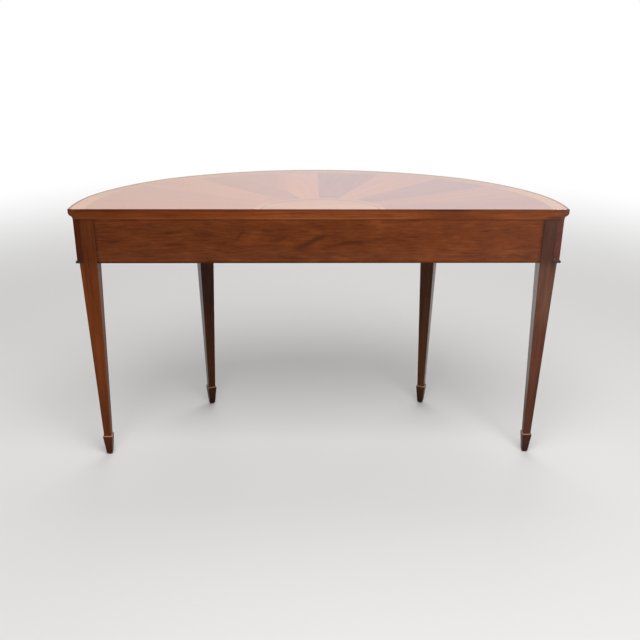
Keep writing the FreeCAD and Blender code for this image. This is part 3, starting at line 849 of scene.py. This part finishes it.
# %% Bare wood
POPLAR = Wood(
    tones=[(0.30, 0.22, 0.10), (0.45, 0.33, 0.17), (0.54, 0.40, 0.22), (0.60, 0.46, 0.27)],
    broad=(0.2, 0.04),
    figure=(0.25, 0.010),
    pores=0.15,
)
BACKING = Wood(
    tones=[(0.16, 0.065, 0.030), (0.25, 0.110, 0.052), (0.31, 0.145, 0.075)],
    broad=(0.4, 0.10),
    figure=(0.3, 0.012),
)
SAWN_ROUGHNESS = 0.65
BACKING_ROUGHNESS = 0.5
for index, row in enumerate(frame["record"]["subparts"]):
    if row["material_slot"] == "secondary_wood":
        name = row["node"]
        lie = grain_across if name == "back_cleat" else grain_upright
        dress(polish(name + "_poplar", POPLAR, lie, seed=200.0 + 4 * index, roughness=SAWN_ROUGHNESS), name)
dress(polish("core_poplar", POPLAR, grain_across, seed=400.0, roughness=SAWN_ROUGHNESS), "top_core")
backing_finish = polish("backing_finish", BACKING, grain_across, seed=404.0, roughness=BACKING_ROUGHNESS)
dress(backing_finish, "backing_veneer")

# %% [markdown]
# ## Screws and glides
# The screws are plain steel, turned bright and a little dulled by the years. The glides are dark plastic,
# rubbed grey where they slide.

# %% Steel and plastic
BLOT_SIZE = 0.004
BLOT_SEED = 7.0
SCRATCH_SIZE = BLOT_SIZE / 6
SCRATCH_SEED = 9.0
SCRATCH_STRENGTH = 0.2
BLOTCHY_GLOSS = 0.2


def plain_finish(name, dark, light, roughness, metallic=0.0):
    """A man-made surface: two close tones in small blots, with uneven gloss."""
    material, start, surface = blank_material(name)
    coordinates = start.node("ShaderNodeTexCoord", output="Object")
    cloud = noise(coordinates, BLOT_SIZE, BLOT_SIZE, BLOT_SEED)
    scratches = noise(coordinates, SCRATCH_SIZE, SCRATCH_SIZE, SCRATCH_SEED)
    feed(blend(cloud, (*dark, 1), (*light, 1)), surface, "Base Color")
    feed(roughness + BLOTCHY_GLOSS * (cloud - NOISE_MEAN), surface, "Roughness")
    relief = {"Strength": SCRATCH_STRENGTH, "Distance": GRAIN_DEPTH, "Height": scratches}
    feed(start.node("ShaderNodeBump", {}, relief), surface, "Normal")
    surface.inputs["Metallic"].default_value = metallic
    return material


steel = plain_finish("steel", (0.38, 0.37, 0.36), (0.62, 0.61, 0.60), roughness=0.4, metallic=1.0)
dress(steel, "top_screws", "cleat_screws", "block_screws")
plastic = plain_finish("glide_plastic", (0.012, 0.010, 0.009), (0.030, 0.026, 0.024), roughness=0.6)
dress(plastic, "foot_glides")

# %% [markdown]
# ## Softened edges
# No polished edge is razor sharp: it is rubbed round, and the thin highlight that it catches is what the
# eye reads as finish. The frame's meshes stay as they are. A small node group welds their loose triangles
# and shades gentle bends smoothly, and a Bevel modifier rounds what is still sharp.

# %% Weld and smooth shading
WELD_DISTANCE = 0.00001
SHARP_BEND = math.radians(32)


def make_soft_shading():
    """Node group that welds a mesh and keeps only its sharp bends sharp."""
    group = bpy.data.node_groups.new("soft_shading", "GeometryNodeTree")
    group.interface.new_socket("Geometry", in_out="INPUT", socket_type="NodeSocketGeometry")
    group.interface.new_socket("Geometry", in_out="OUTPUT", socket_type="NodeSocketGeometry")
    start = Strand(group).node("NodeGroupInput")
    welded = start.node("GeometryNodeMergeByDistance", {}, {"Geometry": start, "Distance": WELD_DISTANCE})
    smooth = start.node("GeometryNodeSetShadeSmooth", {"domain": "FACE"}, {"Geometry": welded})
    bend = start.node("GeometryNodeInputMeshEdgeAngle")
    sharp = start.node("FunctionNodeCompare", {"operation": "GREATER_THAN"}, {"A": bend, "B": SHARP_BEND})
    edged = start.node("GeometryNodeSetShadeSmooth", {"domain": "EDGE"}, {
        "Geometry": smooth,
        "Selection": sharp,
        "Shade Smooth": False,
    })
    start.node("NodeGroupOutput", {}, {"Geometry": edged})
    return group


soft_shading = make_soft_shading()
for item in nodes.values():
    item.modifiers.new("soft_shading", "NODES").node_group = soft_shading
print("smooth shading on", len(nodes), "pieces")

# %% Rounded arrises
LEG_ARRIS = 0.0008
RAIL_ARRIS = 0.0008
LIP_ARRIS = 0.0010
ARRIS_SEGMENTS = 2

arrises = {"back_apron": RAIL_ARRIS, "back_lip": LIP_ARRIS}
arrises.update({leg: LEG_ARRIS for leg in LEGS})
for name, width in arrises.items():
    bevel = nodes[name].modifiers.new("rounded_arris", "BEVEL")
    bevel.width = width
    bevel.segments = ARRIS_SEGMENTS
    bevel.limit_method = "ANGLE"
    bevel.angle_limit = SHARP_BEND
    bevel.harden_normals = True
print("rounded", len(arrises), "pieces of", len(nodes))

# %% [markdown]
# ## Floor
# The table stands on a plain pale floor. Near the table the floor is an ordinary matt surface, so it takes
# the shadow. Further out it fades to an even white, and there is no horizon. That white is seen by the
# camera and by mirrors, but gives no light, so it doesn't wash out the table.

# %% Floor
FLOOR_SIZE = 40.0
FLOOR_COLOUR = (0.38, 0.38, 0.39, 1)
FLOOR_SEEN = (0.72, 0.72, 0.73, 1)
FLOOR_FADE = (1.5, 3.6)


def make_floor():
    """A large flat sheet at floor level."""
    shape = bmesh.new()
    bmesh.ops.create_grid(shape, x_segments=1, y_segments=1, size=FLOOR_SIZE / 2)
    mesh = bpy.data.meshes.new("floor")
    shape.to_mesh(mesh)
    shape.free()
    floor = bpy.data.objects.new("floor", mesh)
    bpy.context.scene.collection.objects.link(floor)
    return floor


def floor_finish():
    """Matt near the table, and an even white far from it for the camera and for mirrors."""
    material = bpy.data.materials.new("floor")
    material.use_nodes = True
    material.node_tree.nodes.clear()
    start = Strand(material.node_tree)
    coordinates = start.node("ShaderNodeTexCoord", output="Object")
    distance = start.node("ShaderNodeVectorMath", {"operation": "LENGTH"}, {0: coordinates}, "Value")
    camera_ray = start.node("ShaderNodeLightPath", output="Is Camera Ray")
    glossy_ray = start.node("ShaderNodeLightPath", output="Is Glossy Ray")
    through_ray = start.node("ShaderNodeLightPath", output="Is Transmission Ray")
    seen = camera_ray + glossy_ray + through_ray
    matt = start.node("ShaderNodeBsdfDiffuse", {}, {"Color": blend(seen, FLOOR_COLOUR, FLOOR_SEEN)})
    white = start.node("ShaderNodeEmission", {}, {"Color": (1, 1, 1, 1), "Strength": 1.0})
    far = mask(distance, *FLOOR_FADE)
    surface = start.node("ShaderNodeMixShader", {}, {0: far * seen, 1: matt, 2: white})
    start.node("ShaderNodeOutputMaterial", {}, {"Surface": surface})
    return material


floor = make_floor()
floor.data.materials.append(floor_finish())
print("floor", FLOOR_SIZE, "m")

# %% [markdown]
# ## Lamps
# A large soft lamp hangs above the camera's side, as a room's ceiling light would, and another lights the
# bow. A small cool one stands at the right, lower than the top, so that the top doesn't mirror it.
# Large lamps are chosen because their soft shadows leave the shape of the legs easy to read.

# %% Three lamps
def add_lamp(name, position, target, size, watts, colour):
    """A square lamp at a place, aimed at a target."""
    lamp = bpy.data.lights.new(name, "AREA")
    lamp.shape = "SQUARE"
    lamp.size = size
    lamp.energy = watts
    lamp.color = colour
    item = bpy.data.objects.new(name, lamp)
    item.location = position
    aim = item.location.copy()
    aim.xyz = [there - here for there, here in zip(target, position)]
    item.rotation_euler = aim.to_track_quat("-Z", "Y").to_euler()
    bpy.context.scene.collection.objects.link(item)


add_lamp("ceiling_lamp", position=(0.15, -1.8, 3.3), target=(0, 0, 0.5), size=2.6, watts=112,
         colour=(1.0, 0.97, 0.93))
add_lamp("bow_lamp", position=(0.3, 2.0, 3.4), target=(0, 0, 0.5), size=2.8, watts=55,
         colour=(1.0, 0.98, 0.95))
add_lamp("side_lamp", position=(1.7, -2.7, 0.4), target=(0.6, -0.2, 0.4), size=0.7, watts=17,
         colour=(0.78, 0.89, 1.0))
print("lamps", [light.name for light in bpy.data.lights])

# %% [markdown]
# ## What the polish mirrors
# A polished top shows mostly what is beyond it, so the world is bright there for glossy rays, with a wall
# that is warmer at the left. Behind the camera the world is dim, which keeps the reds of the rail deep.
# The camera sees plain white, and the light that falls on the table comes mainly from the lamps.

# %% World
WORLD_HORIZON = 0.10
WORLD_OVERHEAD = 0.3
OVERHEAD_RISE = (0.0, 0.9)
WORLD_BEYOND = 0.98
WORLD_BEHIND = 0.16
BEYOND_START = (-0.35, 0.25)
WALL_TINT = (0.975, 0.98, 1.0, 1)
LEFT_WALL_TINT = (0.975, 0.928, 0.889, 1)
WARM_WALL_END = (-0.09, 0.04)


def make_world():
    """White for the camera, a wall beyond the table for the polish, and little light."""
    world = bpy.data.worlds.new("studio")
    bpy.context.scene.world = world
    world.use_nodes = True
    world.node_tree.nodes.clear()
    start = Strand(world.node_tree)
    direction = start.node("ShaderNodeTexCoord", output="Generated")
    sideways, forward, upward = split(direction)
    rays = {
        "Is Camera Ray": 1.0,
        "Is Transmission Ray": 1.0,
        "Is Glossy Ray": WORLD_BEHIND + (WORLD_BEYOND - WORLD_BEHIND) * mask(forward, *BEYOND_START),
    }
    strength = WORLD_HORIZON + (WORLD_OVERHEAD - WORLD_HORIZON) * mask(upward, *OVERHEAD_RISE)
    for ray, level in rays.items():
        on = start.node("ShaderNodeLightPath", output=ray)
        strength = strength * (1 - on) + level * on
    glossy = start.node("ShaderNodeLightPath", output="Is Glossy Ray")
    wall = blend(mask(sideways, *WARM_WALL_END), LEFT_WALL_TINT, WALL_TINT)
    colour = blend(glossy, NO_TINT, wall)
    background = start.node("ShaderNodeBackground", {}, {"Color": colour, "Strength": strength})
    start.node("ShaderNodeOutputWorld", {}, {"Surface": background})


make_world()
bpy.context.scene.view_settings.view_transform = "Standard"
print("world", bpy.context.scene.world.name)

# %% [markdown]
# ## Size
# Finishes must not change the size of the table.
